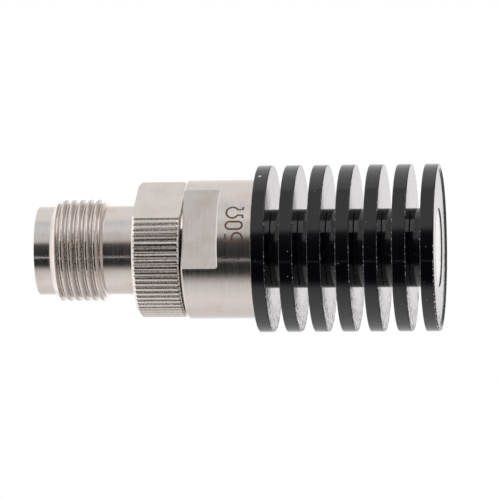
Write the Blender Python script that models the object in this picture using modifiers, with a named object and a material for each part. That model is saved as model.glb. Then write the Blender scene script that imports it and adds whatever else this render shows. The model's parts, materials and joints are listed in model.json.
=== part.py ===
"""Coaxial termination: a threaded jack, a load body and a finned heat sink on one axis.

The object stands on the heat sink's end face, with +Z along its axis to the jack's mouth.
Sizes are in millimetres. Turned pieces are profiles of (radius, height) points, which run
down the outer side and, on a hollow piece, back up the inner side.
"""
import math

import bmesh
import bpy

MM = 0.001

# Clearances: along the axis at a seat, across a round fit, and past a surface that is cut
SEAT = 0.03
FIT = 0.05
OVERCUT = 0.1

# Heat sink
FIN_COUNT = 7
FIN_DIAMETER = 18.0
FIN_THICKNESS = 1.5
FIN_PITCH = 3.0
FIN_EDGE = 0.1
CORE_DIAMETER = 8.5
CORE_WALL = 0.8
LIP_WIDTH = 0.45
RECESS_DEPTH = 0.15

# End plug, which clamps the heat sink to the load body and is a step smaller than its core
PLUG_STEP = 0.05
PLUG_THICKNESS = 0.9
PLUG_INSET = 0.1
PLUG_STEM_LENGTH = 6.0
PLUG_SOCKET_DEPTH = 1.5

# Load body
BODY_DIAMETER = 15.0
BODY_LENGTH = 7.65
BODY_CHAMFER = 0.15
BODY_ACROSS_FLATS = 12.0
BODY_FLAT_LENGTH = 3.85
BODY_STEM_WALL = 0.8
BODY_STEM_RELIEF = 0.3

# Connector shell, from the load body to the mouth. The collar stands a step inside the body
COLLAR_STANDOFF = 0.18
COLLAR_SEAT_DIAMETER = 11.2
TENON_DIAMETER = 9.0
TENON_LENGTH = 2.5
COLLAR_STEP = 0.2
COLLAR_LENGTH = 5.17
COLLAR_FRONT_CHAMFER = 0.42
COLLAR_REAR_CHAMFER = 0.3
COLLAR_ACROSS_FLATS = 12.7
COLLAR_CLOCKING = 36.0
KNURL_COUNT = 72
KNURL_DEPTH = 0.2
BARREL_DIAMETER = 9.6
BARREL_LENGTH = 3.4
THREAD_DIAMETER = 11.0
THREAD_LENGTH = 5.8
THREAD_PITCH = 25.4 / 28
THREAD_LEAD_IN = 1.125
PILOT_DIAMETER = 9.6
PILOT_LENGTH = 1.8
PILOT_EDGE = 0.1

# Form of the thread, as shares of its pitch, and the angle of its flanks
THREAD_DEPTH_SHARE = 0.46
THREAD_CREST_SHARE = 0.275
THREAD_FLANK_ANGLE = 30.0

# Inside of the connector shell
MOUTH_DIAMETER = 8.13
MOUTH_DEPTH = 8.4
LEDGE_DIAMETER = 6.2
LEDGE_THICKNESS = 1.2
SHELL_BORE_DIAMETER = 6.8
RING_DIAMETER = 7.4
RING_LENGTH = 1.8
RING_WALL = 1.4

# Insulators and centre contact
NOSE_DIAMETER = 4.8
NOSE_DEPTH = 3.4
INSULATOR_POCKET_DEPTH = 3.2
BEAD_THICKNESS = 1.2
CONTACT_DIAMETER = 2.1
CONTACT_RECESS = 0.1
CONTACT_BORE = 1.4
CONTACT_BORE_DEPTH = 4.2
CONTACT_SLOT_WIDTH = 0.25
CONTACT_SLOT_DEPTH = 3.5
SHOULDER_DIAMETER = 2.8
SHOULDER_LENGTH = 1.2
TAIL_DIAMETER = 1.5
TAIL_REACH = 3.3
TAIL_BORE = 0.9
TAIL_BORE_DEPTH = 2.2

# Taper sleeve and resistor
SLEEVE_FLANGE = 0.6
SLEEVE_MOUTH_DIAMETER = 4.4
SLEEVE_END_GAP = 0.3
ROD_DIAMETER = 2.0
CAP_WALL = 0.15
CAP_BASE = 0.4
CAP_SKIRT = 1.8
CAP_PIN_LENGTH = 2.0

# Facets round the large and the small turned pieces
LARGE_STEPS = 40
SMALL_STEPS = 24

# Heights on the axis: heat sink, plug and load body
sink_top = (FIN_COUNT - 1) * FIN_PITCH + FIN_THICKNESS
plug_bottom = RECESS_DEPTH + PLUG_INSET
plug_top = plug_bottom + PLUG_THICKNESS
plug_pocket_top = plug_top + SEAT
plug_stem_top = plug_top + PLUG_STEM_LENGTH
plug_socket_floor = plug_stem_top - PLUG_SOCKET_DEPTH
body_stem_end = plug_pocket_top + BODY_STEM_RELIEF
body_rear = sink_top + SEAT
body_front = body_rear + BODY_LENGTH

# Heights on the axis: connector shell and what it holds
collar_seat = body_front + SEAT
collar_rear = body_front + COLLAR_STANDOFF
collar_front = collar_rear + COLLAR_LENGTH
thread_rear = collar_front + BARREL_LENGTH
thread_front = thread_rear + THREAD_LENGTH
mouth = thread_front + PILOT_LENGTH
mouth_floor = mouth - MOUTH_DEPTH
ledge_rear = mouth_floor - LEDGE_THICKNESS
tenon_end = collar_seat - TENON_LENGTH
ring_top = tenon_end + RING_LENGTH
bead_bottom = ring_top + SEAT
bead_top = bead_bottom + BEAD_THICKNESS
insulator_rear = bead_top + SEAT
insulator_pocket_top = insulator_rear + INSULATOR_POCKET_DEPTH
nose_front = mouth - NOSE_DEPTH
contact_front = nose_front - CONTACT_RECESS
shoulder_top = insulator_pocket_top - SEAT
shoulder_bottom = shoulder_top - SHOULDER_LENGTH
tail_end = tenon_end - TAIL_REACH

# Heights on the axis: taper sleeve and resistor
sleeve_top = tenon_end - SEAT
sleeve_flange_bottom = sleeve_top - SLEEVE_FLANGE
sleeve_end = plug_stem_top + SLEEVE_END_GAP
body_socket_floor = sleeve_flange_bottom - SEAT
front_cap_top = tail_end - SEAT
rod_top = front_cap_top - CAP_BASE - SEAT
rear_cap_bottom = plug_socket_floor + SEAT
rod_bottom = rear_cap_bottom + CAP_BASE + SEAT

# Radii, each from a diameter above, or from the piece that it fits or stands beside
fin_radius = FIN_DIAMETER / 2
core_radius = CORE_DIAMETER / 2
sink_bore_radius = core_radius - CORE_WALL
plug_radius = core_radius - PLUG_STEP
plug_pocket_radius = plug_radius + FIT
body_radius = BODY_DIAMETER / 2
body_stem_radius = sink_bore_radius - FIT
body_bore_radius = body_stem_radius - BODY_STEM_WALL
plug_stem_radius = body_bore_radius - FIT
collar_radius = body_radius - COLLAR_STEP
collar_seat_radius = COLLAR_SEAT_DIAMETER / 2
barrel_radius = BARREL_DIAMETER / 2
thread_radius = THREAD_DIAMETER / 2
pilot_radius = PILOT_DIAMETER / 2
mouth_radius = MOUTH_DIAMETER / 2
ledge_radius = LEDGE_DIAMETER / 2
shell_bore_radius = SHELL_BORE_DIAMETER / 2
tenon_radius = TENON_DIAMETER / 2
body_socket_radius = tenon_radius + FIT
ring_radius = RING_DIAMETER / 2
ring_bore_radius = ring_radius - RING_WALL
insulator_radius = shell_bore_radius - FIT
nose_radius = NOSE_DIAMETER / 2
contact_radius = CONTACT_DIAMETER / 2
contact_bore_radius = CONTACT_BORE / 2
shoulder_radius = SHOULDER_DIAMETER / 2
tail_radius = TAIL_DIAMETER / 2
tail_bore_radius = TAIL_BORE / 2
rod_radius = ROD_DIAMETER / 2
cap_cup_radius = rod_radius + FIT
cap_radius = cap_cup_radius + CAP_WALL
cap_pin_radius = tail_bore_radius - FIT


def clear_scene():
    """Remove every object, and the collections that held them."""
    for item in list(bpy.data.objects):
        bpy.data.objects.remove(item, do_unlink=True)
    for group in list(bpy.data.collections):
        bpy.data.collections.remove(group)


def new_collection(name):
    group = bpy.data.collections.new(name)
    bpy.context.scene.collection.children.link(group)
    return group


def new_material(name, colour, metallic, roughness):
    material = bpy.data.materials.new(name)
    material.use_nodes = True
    shader = material.node_tree.nodes["Principled BSDF"]
    shader.inputs["Base Color"].default_value = (*colour, 1)
    shader.inputs["Metallic"].default_value = metallic
    shader.inputs["Roughness"].default_value = roughness
    material.diffuse_color = (*colour, 1)
    return material


def add_object(name, data, group):
    item = bpy.data.objects.new(name, data)
    group.objects.link(item)
    return item


def bake(item, weld=False):
    """Replace an object by the mesh that it evaluates to, in its own frame."""
    bpy.context.view_layer.update()
    graph = bpy.context.evaluated_depsgraph_get()
    mesh = bpy.data.meshes.new_from_object(item.evaluated_get(graph))
    if weld:
        shape = bmesh.new()
        shape.from_mesh(mesh)
        bmesh.ops.remove_doubles(shape, verts=shape.verts, dist=1e-7)
        shape.to_mesh(mesh)
        shape.free()
    name = item.name
    group = item.users_collection[0]
    placing = item.matrix_world.copy()
    bpy.data.objects.remove(item, do_unlink=True)
    baked = add_object(name, mesh, group)
    baked.matrix_world = placing
    return baked


def add_profile(name, profile, closed, group):
    """Add a wire of (radius, height) points in the XZ plane."""
    points = [(radius * MM, 0, height * MM) for radius, height in profile]
    edges = [(i, i + 1) for i in range(len(points) - 1)]
    if closed:
        edges.append((len(points) - 1, 0))
    mesh = bpy.data.meshes.new(name)
    mesh.from_pydata(points, edges, [])
    return add_object(name, mesh, group)


def add_screw(item, steps, rise=0.0, turns=1):
    """Sweep a wire round the Z axis, with a rise per turn in millimetres for a helix."""
    screw = item.modifiers.new("Turn", "SCREW")
    screw.axis = "Z"
    screw.angle = math.tau
    screw.steps = steps
    screw.render_steps = steps
    screw.screw_offset = rise * MM
    screw.iterations = turns
    screw.use_merge_vertices = rise == 0
    screw.merge_threshold = 1e-7


def turn(name, profile, steps, closed=True):
    """Turn a profile: a closed loop for a hollow piece, or an open line that ends on the axis."""
    item = add_profile(name, profile, closed, parts)
    add_screw(item, steps)
    return item


def add_prism(name, outlines, bottom, top, group):
    """Extrude flat outlines between two heights. An outline inside another is a hole in it."""
    curve = bpy.data.curves.new(name, "CURVE")
    curve.dimensions = "2D"
    curve.fill_mode = "BOTH"
    curve.extrude = (top - bottom) / 2 * MM
    for outline in outlines:
        spline = curve.splines.new("POLY")
        spline.points.add(len(outline) - 1)
        for point, (x, y) in zip(spline.points, outline):
            point.co = (x * MM, y * MM, 0, 1)
        spline.use_cyclic_u = True
    item = add_object(name, curve, group)
    item.location.z = (bottom + top) / 2 * MM
    return bake(item, weld=True)


def add_box(name, low, high, group):
    """Add a box between two corners."""
    mesh = bpy.data.meshes.new(name)
    shape = bmesh.new()
    bmesh.ops.create_cube(shape, size=1)
    for vert in shape.verts:
        for axis in range(3):
            vert.co[axis] = (high[axis] if vert.co[axis] > 0 else low[axis]) * MM
    shape.to_mesh(mesh)
    shape.free()
    return add_object(name, mesh, group)


def cut(item, cutter):
    """Cut one object's shape out of another, and keep the cutter as a wire."""
    cutter.display_type = "WIRE"
    cutter.hide_render = True
    difference = item.modifiers.new(cutter.name, "BOOLEAN")
    difference.operation = "DIFFERENCE"
    difference.object = cutter


def flats_cutter(name, across, diameter, bottom, top, clocking=0.0):
    """Make the pair of boxes that mill two opposite flats. Clocking turns them from the Y axis."""
    low = (-diameter, across / 2, bottom)
    high = (diameter, diameter, top)
    cutter = add_box(name, low, high, cutters)
    mirror = cutter.modifiers.new("Both sides", "MIRROR")
    mirror.use_axis = (False, True, False)
    mirror.merge_threshold = 1e-7
    cutter.rotation_euler.z = math.radians(clocking)
    return cutter


def knurl_cutter():
    """Make a ring whose hole is the knurled outline, with a groove in line with each flat."""
    outer = collar_radius + 2 * OVERCUT
    clocking = math.radians(COLLAR_CLOCKING - 90)
    rim = []
    star = []
    for i in range(2 * KNURL_COUNT):
        angle = clocking + i * math.pi / KNURL_COUNT
        radius = collar_radius - KNURL_DEPTH * (1 - i % 2)
        star.append((radius * math.cos(angle), radius * math.sin(angle)))
        if i % 2:
            rim.append((outer * math.cos(angle), outer * math.sin(angle)))
    outlines = (rim, star)
    return add_prism("knurl_cutter", outlines, collar_rear - OVERCUT, collar_front + OVERCUT, cutters)


def thread_cutter():
    """Make the helical groove of a right-hand thread, from behind the thread to past its front."""
    slope = math.tan(math.radians(THREAD_FLANK_ANGLE))
    depth = THREAD_DEPTH_SHARE * THREAD_PITCH
    outer_half = (1 - THREAD_CREST_SHARE) * THREAD_PITCH / 2 + OVERCUT * slope
    root_half = outer_half - (depth + OVERCUT) * slope
    start = thread_rear - THREAD_LEAD_IN
    turns = math.ceil((THREAD_LENGTH + THREAD_LEAD_IN) / THREAD_PITCH + 1)
    groove = [
        (thread_radius + OVERCUT, start + outer_half),
        (thread_radius + OVERCUT, start - outer_half),
        (thread_radius - depth, start - root_half),
        (thread_radius - depth, start + root_half),
    ]
    item = add_profile("thread_cutter", groove, True, cutters)
    add_screw(item, LARGE_STEPS, rise=THREAD_PITCH, turns=turns)
    cutter = bake(item)
    shape = bmesh.new()
    shape.from_mesh(cutter.data)
    open_edges = [edge for edge in shape.edges if edge.is_boundary]
    bmesh.ops.holes_fill(shape, edges=open_edges)
    bmesh.ops.recalc_face_normals(shape, faces=shape.faces)
    shape.to_mesh(cutter.data)
    shape.free()
    return cutter


def make_heat_sink():
    """One turned piece: round fins on a core, and a recessed end face with the plug's pocket."""
    profile = [(sink_bore_radius, sink_top)]
    for i in range(FIN_COUNT):
        top = sink_top - i * FIN_PITCH
        bottom = top - FIN_THICKNESS
        profile += [
            (fin_radius - FIN_EDGE, top),
            (fin_radius, top - FIN_EDGE),
            (fin_radius, bottom + FIN_EDGE),
            (fin_radius - FIN_EDGE, bottom),
        ]
        if i < FIN_COUNT - 1:
            profile += [(core_radius, bottom), (core_radius, top - FIN_PITCH)]
    profile += [
        (fin_radius - LIP_WIDTH, 0),
        (fin_radius - LIP_WIDTH, RECESS_DEPTH),
        (plug_pocket_radius, RECESS_DEPTH),
        (plug_pocket_radius, plug_pocket_top),
        (sink_bore_radius, plug_pocket_top),
    ]
    return turn("heat_sink", profile, LARGE_STEPS)


def make_end_plug():
    """The bright disc in the end face, with a stem that holds the resistor's rear cap."""
    socket_radius = cap_radius + FIT
    profile = [
        (0, plug_socket_floor),
        (socket_radius, plug_socket_floor),
        (socket_radius, plug_stem_top),
        (plug_stem_radius, plug_stem_top),
        (plug_stem_radius, plug_top),
        (plug_radius, plug_top),
        (plug_radius, plug_bottom),
        (0, plug_bottom),
    ]
    return turn("end_plug", profile, LARGE_STEPS, closed=False)


def make_load_body():
    """The wide cylinder with two wrench flats, and the stem that carries the heat sink."""
    profile = [
        (body_socket_radius, body_front),
        (body_radius - BODY_CHAMFER, body_front),
        (body_radius, body_front - BODY_CHAMFER),
        (body_radius, body_rear),
        (body_stem_radius, body_rear),
        (body_stem_radius, body_stem_end),
        (body_bore_radius, body_stem_end),
        (body_bore_radius, body_socket_floor),
        (body_socket_radius, body_socket_floor),
    ]
    item = turn("load_body", profile, LARGE_STEPS)
    flats_bottom = body_front - BODY_FLAT_LENGTH
    flats_top = body_front + OVERCUT
    cut(item, flats_cutter("body_flats", BODY_ACROSS_FLATS, BODY_DIAMETER, flats_bottom, flats_top))
    return item


def make_connector_shell():
    """The jack's outer conductor: a turned blank that is knurled, milled flat and threaded."""
    blank_radius = collar_radius + OVERCUT
    front_slope = COLLAR_FRONT_CHAMFER + OVERCUT
    rear_slope = COLLAR_REAR_CHAMFER + OVERCUT
    front_bevel = thread_radius - pilot_radius
    rear_bevel = thread_radius - barrel_radius
    profile = [
        (mouth_radius, mouth),
        (pilot_radius - PILOT_EDGE, mouth),
        (pilot_radius, mouth - PILOT_EDGE),
        (pilot_radius, thread_front),
        (thread_radius, thread_front - front_bevel),
        (thread_radius, thread_rear + rear_bevel),
        (barrel_radius, thread_rear),
        (barrel_radius, collar_front),
        (blank_radius - front_slope, collar_front),
        (blank_radius, collar_front - front_slope),
        (blank_radius, collar_rear + rear_slope),
        (blank_radius - rear_slope, collar_rear),
        (collar_seat_radius, collar_rear),
        (collar_seat_radius, collar_seat),
        (tenon_radius, collar_seat),
        (tenon_radius, tenon_end),
        (ring_radius + FIT, tenon_end),
        (ring_radius + FIT, ring_top + SEAT),
        (shell_bore_radius, ring_top + SEAT),
        (shell_bore_radius, ledge_rear),
        (ledge_radius, ledge_rear),
        (ledge_radius, mouth_floor),
        (mouth_radius, mouth_floor),
    ]
    item = turn("connector_shell", profile, LARGE_STEPS)
    flats_bottom = collar_rear - OVERCUT
    flats_top = collar_front + OVERCUT
    cut(item, knurl_cutter())
    cut(item, flats_cutter("collar_flats", COLLAR_ACROSS_FLATS, 2 * collar_radius, flats_bottom,
                           flats_top, COLLAR_CLOCKING))
    cut(item, thread_cutter())
    return item


def make_front_insulator():
    """The white insulator: a nose in the mouth, a step in the ledge and a body in the shell's bore."""
    bore_radius = contact_radius + FIT
    pocket_radius = shoulder_radius + FIT
    step_radius = ledge_radius - FIT
    profile = [
        (bore_radius, nose_front),
        (nose_radius, nose_front),
        (nose_radius, mouth_floor),
        (step_radius, mouth_floor),
        (step_radius, ledge_rear - SEAT),
        (insulator_radius, ledge_rear - SEAT),
        (insulator_radius, insulator_rear),
        (pocket_radius, insulator_rear),
        (pocket_radius, insulator_pocket_top),
        (bore_radius, insulator_pocket_top),
    ]
    return turn("front_insulator", profile, SMALL_STEPS)


def make_centre_contact():
    """The socket contact: slotted fingers in front, a shoulder, and a tail for the resistor's pin."""
    profile = [
        (0, contact_front - CONTACT_BORE_DEPTH),
        (contact_bore_radius, contact_front - CONTACT_BORE_DEPTH),
        (contact_bore_radius, contact_front),
        (contact_radius, contact_front),
        (contact_radius, shoulder_top),
        (shoulder_radius, shoulder_top),
        (shoulder_radius, shoulder_bottom),
        (tail_radius, shoulder_bottom),
        (tail_radius, tail_end),
        (tail_bore_radius, tail_end),
        (tail_bore_radius, tail_end + TAIL_BORE_DEPTH),
        (0, tail_end + TAIL_BORE_DEPTH),
    ]
    item = turn("centre_contact", profile, SMALL_STEPS, closed=False)
    half = CONTACT_SLOT_WIDTH / 2
    reach = CONTACT_DIAMETER
    bottom = contact_front - CONTACT_SLOT_DEPTH
    top = contact_front + OVERCUT
    cut(item, add_box("slot_x", (-reach, -half, bottom), (reach, half, top), cutters))
    cut(item, add_box("slot_y", (-half, -reach, bottom), (half, reach, top), cutters))
    return item


def make_support_bead():
    """The second insulator, which centres the contact's tail."""
    profile = [
        (tail_radius + FIT, bead_top),
        (insulator_radius, bead_top),
        (insulator_radius, bead_bottom),
        (tail_radius + FIT, bead_bottom),
    ]
    return turn("support_bead", profile, SMALL_STEPS)


def make_retaining_ring():
    """The ring that holds both insulators in the shell's bore."""
    profile = [
        (ring_bore_radius, ring_top),
        (ring_radius, ring_top),
        (ring_radius, tenon_end),
        (ring_bore_radius, tenon_end),
    ]
    return turn("retaining_ring", profile, SMALL_STEPS)


def make_taper_sleeve():
    """The outer conductor round the resistor, whose bore narrows towards the resistor's rear cap."""
    end_radius = cap_radius + FIT
    profile = [
        (SLEEVE_MOUTH_DIAMETER / 2, sleeve_top),
        (tenon_radius, sleeve_top),
        (tenon_radius, sleeve_flange_bottom),
        (plug_stem_radius, sleeve_flange_bottom),
        (plug_stem_radius, sleeve_end),
        (end_radius, sleeve_end),
    ]
    return turn("taper_sleeve", profile, SMALL_STEPS)


def make_resistor_rod():
    """The ceramic rod that carries the resistive film."""
    profile = [(0, rod_top), (rod_radius, rod_top), (rod_radius, rod_bottom), (0, rod_bottom)]
    return turn("resistor_rod", profile, SMALL_STEPS, closed=False)


def make_front_cap():
    """The rod's front cap, with the pin that enters the contact's tail."""
    profile = [
        (0, front_cap_top + CAP_PIN_LENGTH),
        (cap_pin_radius, front_cap_top + CAP_PIN_LENGTH),
        (cap_pin_radius, front_cap_top),
        (cap_radius, front_cap_top),
        (cap_radius, rod_top - CAP_SKIRT),
        (cap_cup_radius, rod_top - CAP_SKIRT),
        (cap_cup_radius, rod_top + SEAT),
        (0, rod_top + SEAT),
    ]
    return turn("front_cap", profile, SMALL_STEPS, closed=False)


def make_rear_cap():
    """The rod's rear cap, which sits in the end plug's socket."""
    profile = [
        (0, rod_bottom - SEAT),
        (cap_cup_radius, rod_bottom - SEAT),
        (cap_cup_radius, rod_bottom + CAP_SKIRT),
        (cap_radius, rod_bottom + CAP_SKIRT),
        (cap_radius, rear_cap_bottom),
        (0, rear_cap_bottom),
    ]
    return turn("rear_cap", profile, SMALL_STEPS, closed=False)


def finish(item, material, axis):
    """Bake a piece, shade it and hang it on the axis empty."""
    piece = bake(item)
    piece.data.materials.clear()
    piece.data.materials.append(material)
    piece.data.shade_smooth()
    piece.data.set_sharp_from_angle(angle=math.radians(30))
    piece.parent = axis


clear_scene()
parts = new_collection("coaxial_termination")
cutters = new_collection("cutters")

nickel = new_material("nickel", (0.70, 0.67, 0.64), 1.0, 0.25)
black = new_material("black_anodised", (0.015, 0.014, 0.016), 0.0, 0.30)
white = new_material("insulator", (0.85, 0.85, 0.82), 0.0, 0.45)
gold = new_material("gold", (0.83, 0.62, 0.27), 1.0, 0.25)
brass = new_material("brass", (0.72, 0.56, 0.28), 1.0, 0.35)
ceramic = new_material("ceramic", (0.60, 0.58, 0.52), 0.0, 0.50)

main_axis = add_object("axis", None, parts)
finish(make_heat_sink(), black, main_axis)
finish(make_end_plug(), nickel, main_axis)
finish(make_load_body(), nickel, main_axis)
finish(make_connector_shell(), nickel, main_axis)
finish(make_front_insulator(), white, main_axis)
finish(make_centre_contact(), gold, main_axis)
finish(make_support_bead(), white, main_axis)
finish(make_retaining_ring(), brass, main_axis)
finish(make_taper_sleeve(), brass, main_axis)
finish(make_resistor_rod(), ceramic, main_axis)
finish(make_front_cap(), gold, main_axis)
finish(make_rear_cap(), gold, main_axis)
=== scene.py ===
# %% [markdown]
# # A coaxial termination
# A radio line has to end in something that swallows its signal. This part does it: a threaded
# jack takes the line, a resistor inside the round body turns the signal into heat, and a black
# finned heat sink sheds the heat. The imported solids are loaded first. They are the fixed frame
# that every finer piece below is set in, so nothing here changes a size.

# %% Load the frame
import json
import math

import bmesh
import bpy
from mathutils import Matrix, Vector

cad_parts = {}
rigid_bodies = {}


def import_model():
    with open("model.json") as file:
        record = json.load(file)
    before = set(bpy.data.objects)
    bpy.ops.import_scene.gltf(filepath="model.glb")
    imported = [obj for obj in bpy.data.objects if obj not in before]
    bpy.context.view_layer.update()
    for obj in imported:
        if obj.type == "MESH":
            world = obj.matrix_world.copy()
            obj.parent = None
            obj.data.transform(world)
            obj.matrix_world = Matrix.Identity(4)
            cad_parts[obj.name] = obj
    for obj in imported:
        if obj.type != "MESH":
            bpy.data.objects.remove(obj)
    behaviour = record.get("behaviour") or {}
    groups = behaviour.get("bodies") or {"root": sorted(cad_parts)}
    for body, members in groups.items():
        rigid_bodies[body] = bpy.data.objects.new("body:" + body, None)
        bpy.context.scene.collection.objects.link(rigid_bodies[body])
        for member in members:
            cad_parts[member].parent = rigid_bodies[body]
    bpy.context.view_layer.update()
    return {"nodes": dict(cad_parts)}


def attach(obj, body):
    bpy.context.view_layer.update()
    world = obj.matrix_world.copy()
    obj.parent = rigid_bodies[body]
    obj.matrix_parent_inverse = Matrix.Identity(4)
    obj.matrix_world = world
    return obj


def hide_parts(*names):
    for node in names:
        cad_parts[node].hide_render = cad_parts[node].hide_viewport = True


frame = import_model()
print("pieces in the frame:", len(frame["nodes"]))

# %% [markdown]
# ## Sizes
# The sizes repeat those of the solids, in millimetres, because a turned part is thought of in
# millimetres on the lathe. Each shape is built in millimetres and scaled to metres at the end.
# Z is the axis: 0 is the heat sink's end face, and the jack's mouth is on top.

# %% Sizes of the heat sink, the plug and the body
MM = 0.001
SEAT = 0.03
FIT = 0.05

FIN_COUNT = 7
FIN_PITCH = 3.0
FIN_THICKNESS = 1.5
FIN_RADIUS = 9.0
CORE_RADIUS = 4.25
SINK_BORE_RADIUS = 3.45
LIP_RADIUS = 8.55
RECESS_DEPTH = 0.15
SINK_TOP = (FIN_COUNT - 1) * FIN_PITCH + FIN_THICKNESS

PLUG_RADIUS = 4.2
PLUG_BOTTOM = 0.25
PLUG_TOP = 1.15
PLUG_STEM_RADIUS = 2.55
PLUG_STEM_TOP = 7.15
PLUG_SOCKET_RADIUS = 1.25
PLUG_SOCKET_FLOOR = 5.65

BODY_RADIUS = 7.5
BODY_REAR = SINK_TOP + SEAT
BODY_FRONT = BODY_REAR + 7.65
BODY_CHAMFER = 0.15
BODY_STEM_RADIUS = SINK_BORE_RADIUS - FIT
BODY_STEM_END = 1.48
BODY_BORE_RADIUS = 2.6
BODY_FLAT_REACH = 6.0
BODY_FLAT_SHOULDER = BODY_FRONT - 3.85
print("load body from", BODY_REAR, "to", BODY_FRONT)

# %% Sizes of the jack
COLLAR_REAR = BODY_FRONT + 0.18
COLLAR_FRONT = COLLAR_REAR + 5.17
COLLAR_RADIUS = BODY_RADIUS - 0.2
COLLAR_REAR_CHAMFER = 0.3
COLLAR_SEAT = BODY_FRONT + SEAT
COLLAR_SEAT_RADIUS = 5.6
COLLAR_FLAT_REACH = 6.35
COLLAR_CLOCKING = 36.0
TENON_RADIUS = 4.5
TENON_END = COLLAR_SEAT - 2.5

BARREL_RADIUS = 4.8
THREAD_REAR = COLLAR_FRONT + 3.4
THREAD_FRONT = THREAD_REAR + 5.8
THREAD_RADIUS = 5.5
THREAD_PITCH = 25.4 / 28
THREAD_DEPTH = 0.46 * THREAD_PITCH
MOUTH = THREAD_FRONT + 1.8

MOUTH_RADIUS = 4.065
MOUTH_FLOOR = MOUTH - 8.4
LEDGE_RADIUS = 3.1
LEDGE_REAR = MOUTH_FLOOR - 1.2
SHELL_BORE_RADIUS = 3.4
RING_POCKET_RADIUS = 3.75
RING_POCKET_TOP = TENON_END + 1.83
BODY_SOCKET_RADIUS = TENON_RADIUS + FIT
BODY_SOCKET_FLOOR = TENON_END - 0.69
print("mouth at", round(MOUTH, 3), "and thread pitch", round(THREAD_PITCH, 4))

# %% [markdown]
# ## How a turned piece is made
# A lathe makes every round piece here, so each one starts as half of its cross-section and is
# spun round the axis. `bmesh.ops.spin` does that. The corners are rounded on the flat outline
# first, as a vertex bevel, because one bevel there is one fillet all the way round.
# The number of steps is high enough that a facet is thinner than a pixel.

# %% Spin an outline
TURN_STEPS = 192
CORNER_SEGMENTS = 3


def draw_outline(shape, points, closed):
    """Draw a wire of (radius, height, rounding) points in the XZ plane and round its corners."""
    verts = [shape.verts.new((point[0], 0, point[1])) for point in points]
    ends = verts[1:] + verts[:1] if closed else verts[1:]
    for start, end in zip(verts, ends):
        shape.edges.new((start, end))
    roundings = [point[2] if len(point) > 2 else 0 for point in points]
    for size in sorted(set(roundings) - {0}):
        corners = [vert for vert, rounding in zip(verts, roundings) if rounding == size]
        bmesh.ops.bevel(shape, geom=corners, offset=size, offset_type="OFFSET", profile=0.5,
                        segments=CORNER_SEGMENTS, affect="VERTICES", material=-1)


def turned(points, steps=TURN_STEPS, closed=True):
    """Spin an outline once round the axis into a closed solid."""
    shape = bmesh.new()
    draw_outline(shape, points, closed)
    wire = shape.verts[:] + shape.edges[:]
    bmesh.ops.spin(shape, geom=wire, cent=(0, 0, 0), axis=(0, 0, 1), dvec=(0, 0, 0),
                   angle=math.tau, steps=steps, use_merge=True)
    bmesh.ops.remove_doubles(shape, verts=shape.verts, dist=1e-5)
    bmesh.ops.recalc_face_normals(shape, faces=shape.faces)
    return shape

# %% [markdown]
# A shape becomes an object in one place. It is shaded smooth and given weighted normals: each
# corner takes its light from the largest face beside it, so flats stay flat and only the small
# fillets roll the light over. The modifier is applied while the shape is still in millimetres,
# because in metres the faces are too small for it to weigh. Then the mesh is scaled to metres.

# %% Make an object from a shape
SHARP_ANGLE = math.radians(40)


def baked_mesh(item):
    """The mesh that an object's modifiers make of it."""
    bpy.context.view_layer.update()
    graph = bpy.context.evaluated_depsgraph_get()
    return bpy.data.meshes.new_from_object(item.evaluated_get(graph))


def add_piece(shape, name, face_pull=75):
    """Turn a shape in millimetres into a finished object in metres."""
    mesh = bpy.data.meshes.new(name)
    shape.to_mesh(mesh)
    shape.free()
    mesh.shade_smooth()
    mesh.set_sharp_from_angle(angle=SHARP_ANGLE)
    piece = bpy.data.objects.new(name, mesh)
    bpy.context.scene.collection.objects.link(piece)
    weighted = piece.modifiers.new("Weighted Normal", "WEIGHTED_NORMAL")
    weighted.keep_sharp = True
    weighted.weight = face_pull
    smooth = baked_mesh(piece)
    piece.modifiers.clear()
    smooth.transform(Matrix.Scale(MM, 4))
    piece.data = smooth
    smooth.name = name
    print(name, "has", len(smooth.polygons), "faces")
    return piece

# %% [markdown]
# ## Heat sink
# Seven round fins are left standing where a grooving tool has cut between them, down to a thick
# core. The outline walks down the fins one by one. Each rim has its edges broken, which is what
# draws the thin light lines along the black fins, and each root has a small fillet from the
# tool's nose. The end face has a raised lip, and a shallow recess with a pocket for the plug.

# %% Turn the heat sink
RIM_EDGE = 0.1
ROOT_FILLET = 0.1
SMALL_EDGE = 0.03

sink_outline = [(SINK_BORE_RADIUS, SINK_TOP)]
for fin in range(FIN_COUNT):
    top = SINK_TOP - fin * FIN_PITCH
    bottom = top - FIN_THICKNESS
    sink_outline += [(FIN_RADIUS, top, RIM_EDGE), (FIN_RADIUS, bottom, RIM_EDGE)]
    if fin < FIN_COUNT - 1:
        sink_outline += [(CORE_RADIUS, bottom, ROOT_FILLET)]
        sink_outline += [(CORE_RADIUS, bottom - FIN_PITCH + FIN_THICKNESS, ROOT_FILLET)]
sink_outline += [
    (LIP_RADIUS, 0, SMALL_EDGE),
    (LIP_RADIUS, RECESS_DEPTH, 0.12),
    (CORE_RADIUS, RECESS_DEPTH, SMALL_EDGE),
    (CORE_RADIUS, PLUG_TOP + SEAT),
    (SINK_BORE_RADIUS, PLUG_TOP + SEAT),
]
heat_sink = add_piece(turned(sink_outline), "finned_heat_sink")

# %% [markdown]
# ## End plug
# The bright disc in the end face is the head of a plug. Its stem clamps the heat sink to the
# body, and a socket in the stem holds the rear of the resistor. The outline is open and ends
# on the axis, where the spin closes it.

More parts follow.
